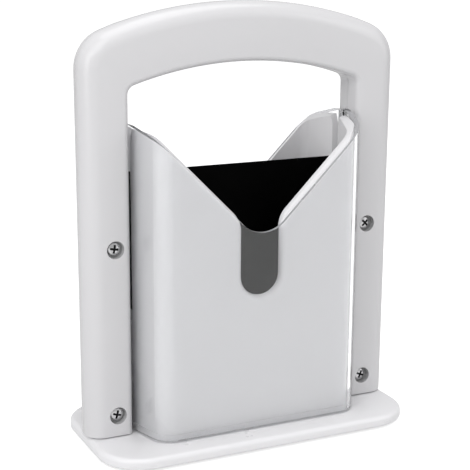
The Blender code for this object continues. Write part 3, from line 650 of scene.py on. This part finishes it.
def plate_hollow():
    """Hollow under the plate, with ribs, foot pads and screw bosses left standing."""
    low_z = PLATE_BOTTOM - 2 * OVERRUN
    roof_z = PLATE_TOP - PLATE_SKIN
    hollow = plan_solid("plate_hollow", plate_outline(PLATE_RIM), PLATE_BOTTOM - OVERRUN, roof_z)
    reach_x = PLATE_WIDTH / 2
    reach_y = PLATE_DEPTH / 2
    half_rib = PLATE_RIB / 2
    for share in PLATE_RIB_SHARES:
        x = reach_x * share
        low = (x - half_rib, -reach_y, low_z)
        cut(hollow, box("cross_rib", low, (x + half_rib, reach_y, PLATE_TOP)))
    low = (-reach_x, -half_rib, low_z)
    cut(hollow, box("long_rib", low, (reach_x, half_rib, PLATE_TOP)))
    boss_radius = SCREW_HEAD_RADIUS + FIT_GAP + BOSS_WALL
    for hand in (-1, 1):
        for side in (-1, 1):
            foot = (hand * FOOT_X, side * FOOT_Y)
            seat = (hand * BASE_SCREW_X, side * BASE_SCREW_Y)
            cut(hollow, rod("foot_pad", PAD_RADIUS, (*foot, low_z), (*foot, PLATE_TOP)))
            cut(hollow, rod("screw_pad", boss_radius, (*seat, low_z), (*seat, PLATE_TOP)))
    return hollow


def base_plate():
    """Plate with rounded edges, its hollow and the seats of feet and screws."""
    item = plan_solid("base_plate_look", plate_outline(0), PLATE_BOTTOM, PLATE_TOP)

    def chooser(edge):
        if len(edge.link_faces) < 2 or edge.calc_face_angle() < SHARP_ANGLE:
            return 0
        heights = [vertex.co.z for vertex in edge.verts]
        if max(heights) - min(heights) > MERGE:
            return 0
        return 1 if heights[0] > PLATE_BOTTOM + MERGE else PLATE_LOWER_ROUND / PLATE_TOP_ROUND

    round_edges(item, chooser, PLATE_TOP_ROUND, PLATE_SEGMENTS)
    cut(item, plate_hollow())
    low_z = PLATE_BOTTOM - OVERRUN
    foot_top = PLATE_BOTTOM + FOOT_SEAT + FIT_GAP
    head_top = PLATE_BOTTOM + SCREW_HEAD_HEIGHT + FIT_GAP
    head_radius = SCREW_HEAD_RADIUS + FIT_GAP
    for hand in (-1, 1):
        for side in (-1, 1):
            foot = (hand * FOOT_X, side * FOOT_Y)
            seat = (hand * BASE_SCREW_X, side * BASE_SCREW_Y)
            cut(item, rod("foot_seat", FOOT_RADIUS + FIT_GAP, (*foot, low_z), (*foot, foot_top)))
            cut(item, rod("head_seat", head_radius, (*seat, low_z), (*seat, head_top)))
    return item


# Screws

def screw(name, reach, place, rotation):
    """Screw with a domed, rounded cross head, seated at place."""
    head = []
    for share in HEAD_DOME_SHARES:
        head.append((SCREW_HEAD_RADIUS * share, SCREW_HEAD_HEIGHT - SCREW_HEAD_DOME * share ** 2))
    side_top = SCREW_HEAD_HEIGHT - SCREW_HEAD_DOME - SCREW_HEAD_ROUND
    for step in range(HEAD_ROUND_STEPS + 1):
        turn = QUARTER_TURN * (1 - step / HEAD_ROUND_STEPS)
        radius = SCREW_HEAD_RADIUS - SCREW_HEAD_ROUND * (1 - math.cos(turn))
        head.append((radius, side_top + SCREW_HEAD_ROUND * math.sin(turn)))
    shank = [
        (SCREW_HEAD_RADIUS, 0),
        (SCREW_SHANK_RADIUS, 0),
        (SCREW_SHANK_RADIUS, SCREW_TIP - reach),
        (SCREW_SHANK_RADIUS / 2, -reach),
        (0, -reach),
    ]
    profile = head + shank
    points = [(radius, 0, z) for radius, z in profile]
    mesh = bpy.data.meshes.new(name)
    mesh.from_pydata(points, [(index - 1, index) for index in range(1, len(points))], [])
    item = new_object(name, mesh)
    turning = item.modifiers.new("Turning", "SCREW")
    turning.axis = "Z"
    turning.steps = ROUND_SIDES
    turning.render_steps = ROUND_SIDES
    turning.use_merge_vertices = True
    turning.merge_threshold = MERGE
    settle(item)
    low_z = SCREW_HEAD_HEIGHT - SCREW_CROSS_DEPTH
    high_z = SCREW_HEAD_HEIGHT + OVERRUN
    half_length = SCREW_CROSS_LENGTH / 2
    half_width = SCREW_CROSS_WIDTH / 2
    for x, y in ((half_length, half_width), (half_width, half_length)):
        cut(item, box("screw_slot", (-x, -y, low_z), (x, y, high_z)))

    def in_cross(face):
        """Whether a face is the floor or a wall of the cross recess, which gets painted shade."""
        middle = face.center
        if max(abs(middle.x), abs(middle.y)) > half_length + MERGE:
            return False
        if abs(middle.z - low_z) < MERGE:
            return True
        return low_z < middle.z < SCREW_HEAD_HEIGHT and abs(face.normal.z) < WALL_LEAN

    # The cross recess gets the near-black steel as painted shade
    dress(item, STEEL, SHADED_STEEL, in_cross)
    item.data.transform(Matrix.Translation(place) @ rotation)
    return item


def in_counterbore(face):
    """Whether a face lies in one of the front shell's counterbores, which get painted shade."""
    middle = face.center
    if middle.y < -HALF_DEPTH + MERGE or middle.y > SEAT_Y + MERGE:
        return False
    x = abs(middle.x) - SCREW_X
    reach = COUNTERBORE_RADIUS + MERGE
    return any(math.hypot(x, middle.z - height) < reach for height in SCREW_HEIGHTS)


def on_rim(face):
    """Whether a face lies on a shield's cut upper rim or its lower end."""
    return abs(face.normal.z) > RIM_LEAN


# Pieces

# The counterbores' faces get the darker white as painted shade
front_cover = dress(frame_shell("frame_front_cover", -1), WHITE, SHADED_WHITE, in_counterbore)
show(front_cover, CARRIAGE, "white_plastic", "front_shell")
show(dress(frame_shell("frame_rear_cover", 1), WHITE), CARRIAGE, "white_plastic", "rear_shell")
for name, side in (("front_shield", -1), ("rear_shield", 1)):
    item = dress(shield(name + "_clear", side), CLEAR, CLEAR_RIM, on_rim)
    show(soften(item), CARRIAGE, "clear_plastic", name)
show(dress(holder(), HOLDER_WHITE), BASE, "white_plastic", "holder")
show(dress(base_plate(), BASE_WHITE), BASE, "white_plastic", "base_plate")

upright = Matrix.Rotation(QUARTER_TURN, 4, "X")
inverted = Matrix.Rotation(2 * QUARTER_TURN, 4, "X")
screw_turns = iter(SCREW_TURN_SHARES)
for hand, side_name in ((-1, "left"), (1, "right")):
    for height, height_name in zip(SCREW_HEIGHTS, ("lower", "upper")):
        name = f"frame_screw_{side_name}_{height_name}"
        turn = Matrix.Rotation(QUARTER_TURN * next(screw_turns), 4, "Y") @ upright
        place = (hand * SCREW_X, SEAT_Y - FIT_GAP, height)
        show(screw(name + "_look", FRAME_SCREW_REACH, place, turn), CARRIAGE, "screw_steel", name)
    for side, end_name in ((-1, "front"), (1, "rear")):
        name = f"base_screw_{side_name}_{end_name}"
        place = (hand * BASE_SCREW_X, side * BASE_SCREW_Y, PLATE_BOTTOM + SCREW_HEAD_HEIGHT)
        show(screw(name + "_look", BASE_SCREW_REACH, place, inverted), BASE, "screw_steel", name)

# Looks of the CAD nodes that stay visible, by the start of their names
NODE_LOOKS = {"blade": BLACK, "cradle": HOLDER_WHITE, "foot": RUBBER}
for name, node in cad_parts.items():
    for start, look in NODE_LOOKS.items():
        if name.startswith(start):
            for place in node.material_slots:
                place.material = look


# Floor and light

FLOOR_REACH = 12.0
FLOOR_COLOUR = (0.76, 0.76, 0.76, 1)
FLOOR_GLOW = 0.70
FLOOR_SHINE = 0.10
WORLD_LIGHT = 0.50
WORLD_SHINE = 0.55
# Name, place, height of the point that the lamp faces, width and height, watts
LAMPS = (
    ("key_light", (-0.55, -0.80, 1.05), 0.10, (0.8, 0.8), 4.2),
    ("fill_light", (0.95, -0.70, 0.55), 0.10, (0.7, 0.9), 2.4),
    ("top_light", (0.05, -0.05, 1.20), 0.12, (0.9, 0.7), 4.5),
    ("left_light", (-1.05, -0.50, 0.50), 0.10, (0.6, 0.9), 3.9),
)


def path_mix(nodes, links, diffuse, glossy, seen):
    """Strength for diffuse, for glossy, and for camera and transmission rays."""
    path = nodes.new("ShaderNodeLightPath")
    either = nodes.new("ShaderNodeMath")
    either.operation = "MAXIMUM"
    links.new(path.outputs["Is Camera Ray"], either.inputs[0])
    links.new(path.outputs["Is Transmission Ray"], either.inputs[1])
    value = None
    for mask, strength in ((path.outputs["Is Glossy Ray"], glossy), (either.outputs[0], seen)):
        blend = nodes.new("ShaderNodeMapRange")
        blend.inputs["To Min"].default_value = diffuse
        blend.inputs["To Max"].default_value = strength
        if value:
            links.new(value, blend.inputs["To Min"])
        links.new(mask, blend.inputs["Value"])
        value = blend.outputs["Result"]
    return value


def make_floor():
    mesh = bpy.data.meshes.new("floor")
    signs = ((-1, -1), (1, -1), (1, 1), (-1, 1))
    corners = [(x * FLOOR_REACH, y * FLOOR_REACH, 0) for x, y in signs]
    mesh.from_pydata(corners, [], [(0, 1, 2, 3)])
    floor = bpy.data.objects.new("floor", mesh)
    bpy.context.scene.collection.objects.link(floor)
    material = bpy.data.materials.new("floor_look")
    material.use_nodes = True
    nodes = material.node_tree.nodes
    links = material.node_tree.links
    nodes.clear()
    output = nodes.new("ShaderNodeOutputMaterial")
    surface = nodes.new("ShaderNodeBsdfDiffuse")
    surface.inputs["Color"].default_value = FLOOR_COLOUR
    glow = nodes.new("ShaderNodeEmission")
    links.new(path_mix(nodes, links, 0, FLOOR_SHINE, FLOOR_GLOW), glow.inputs["Strength"])
    both = nodes.new("ShaderNodeAddShader")
    links.new(surface.outputs[0], both.inputs[0])
    links.new(glow.outputs[0], both.inputs[1])
    links.new(both.outputs[0], output.inputs["Surface"])
    mesh.materials.append(material)


def make_world():
    world = bpy.data.worlds.new("studio")
    bpy.context.scene.world = world
    world.use_nodes = True
    nodes = world.node_tree.nodes
    links = world.node_tree.links
    back = nodes["Background"]
    back.inputs["Color"].default_value = (1, 1, 1, 1)
    links.new(path_mix(nodes, links, WORLD_LIGHT, WORLD_SHINE, 1), back.inputs["Strength"])


def area_light(name, place, target_height, size, power):
    """Rectangular lamp that faces a point on the slicer's upright axis."""
    lamp = bpy.data.lights.new(name, "AREA")
    lamp.shape = "RECTANGLE"
    lamp.size, lamp.size_y = size
    lamp.energy = power
    item = bpy.data.objects.new(name, lamp)
    bpy.context.scene.collection.objects.link(item)
    item.location = place
    facing = Vector((0, 0, target_height)) - Vector(place)
    item.rotation_euler = facing.to_track_quat("-Z", "Y").to_euler()


make_floor()
make_world()
for values in LAMPS:
    area_light(*values)


# Camera, as solved from the photo's outlines

AZIMUTH = math.radians(-25.617)
ELEVATION = math.radians(13.604)
ROLL = math.radians(0.374)
DISTANCE = 0.66347
FOCAL_PIXELS = 1217.55
FRAME_PIXELS = 470
SENSOR_WIDTH = 36
TARGET = Vector((-0.00229, 0, 0.10908))

level = math.cos(ELEVATION)
toward = Vector((math.sin(AZIMUTH) * level, -math.cos(AZIMUTH) * level, math.sin(ELEVATION)))
lens = bpy.data.cameras.new("camera")
lens.sensor_width = SENSOR_WIDTH
lens.lens = lens.sensor_width * FOCAL_PIXELS / FRAME_PIXELS
lens.clip_start = 0.01
lens.clip_end = 100
camera = bpy.data.objects.new("camera", lens)
bpy.context.scene.collection.objects.link(camera)
turn = (-toward).to_track_quat("-Z", "Y").to_matrix() @ Matrix.Rotation(ROLL, 3, "Z")
camera.matrix_world = Matrix.Translation(TARGET + toward * DISTANCE) @ turn.to_4x4()
bpy.context.scene.camera = camera
bpy.context.scene.view_settings.view_transform = "Standard"
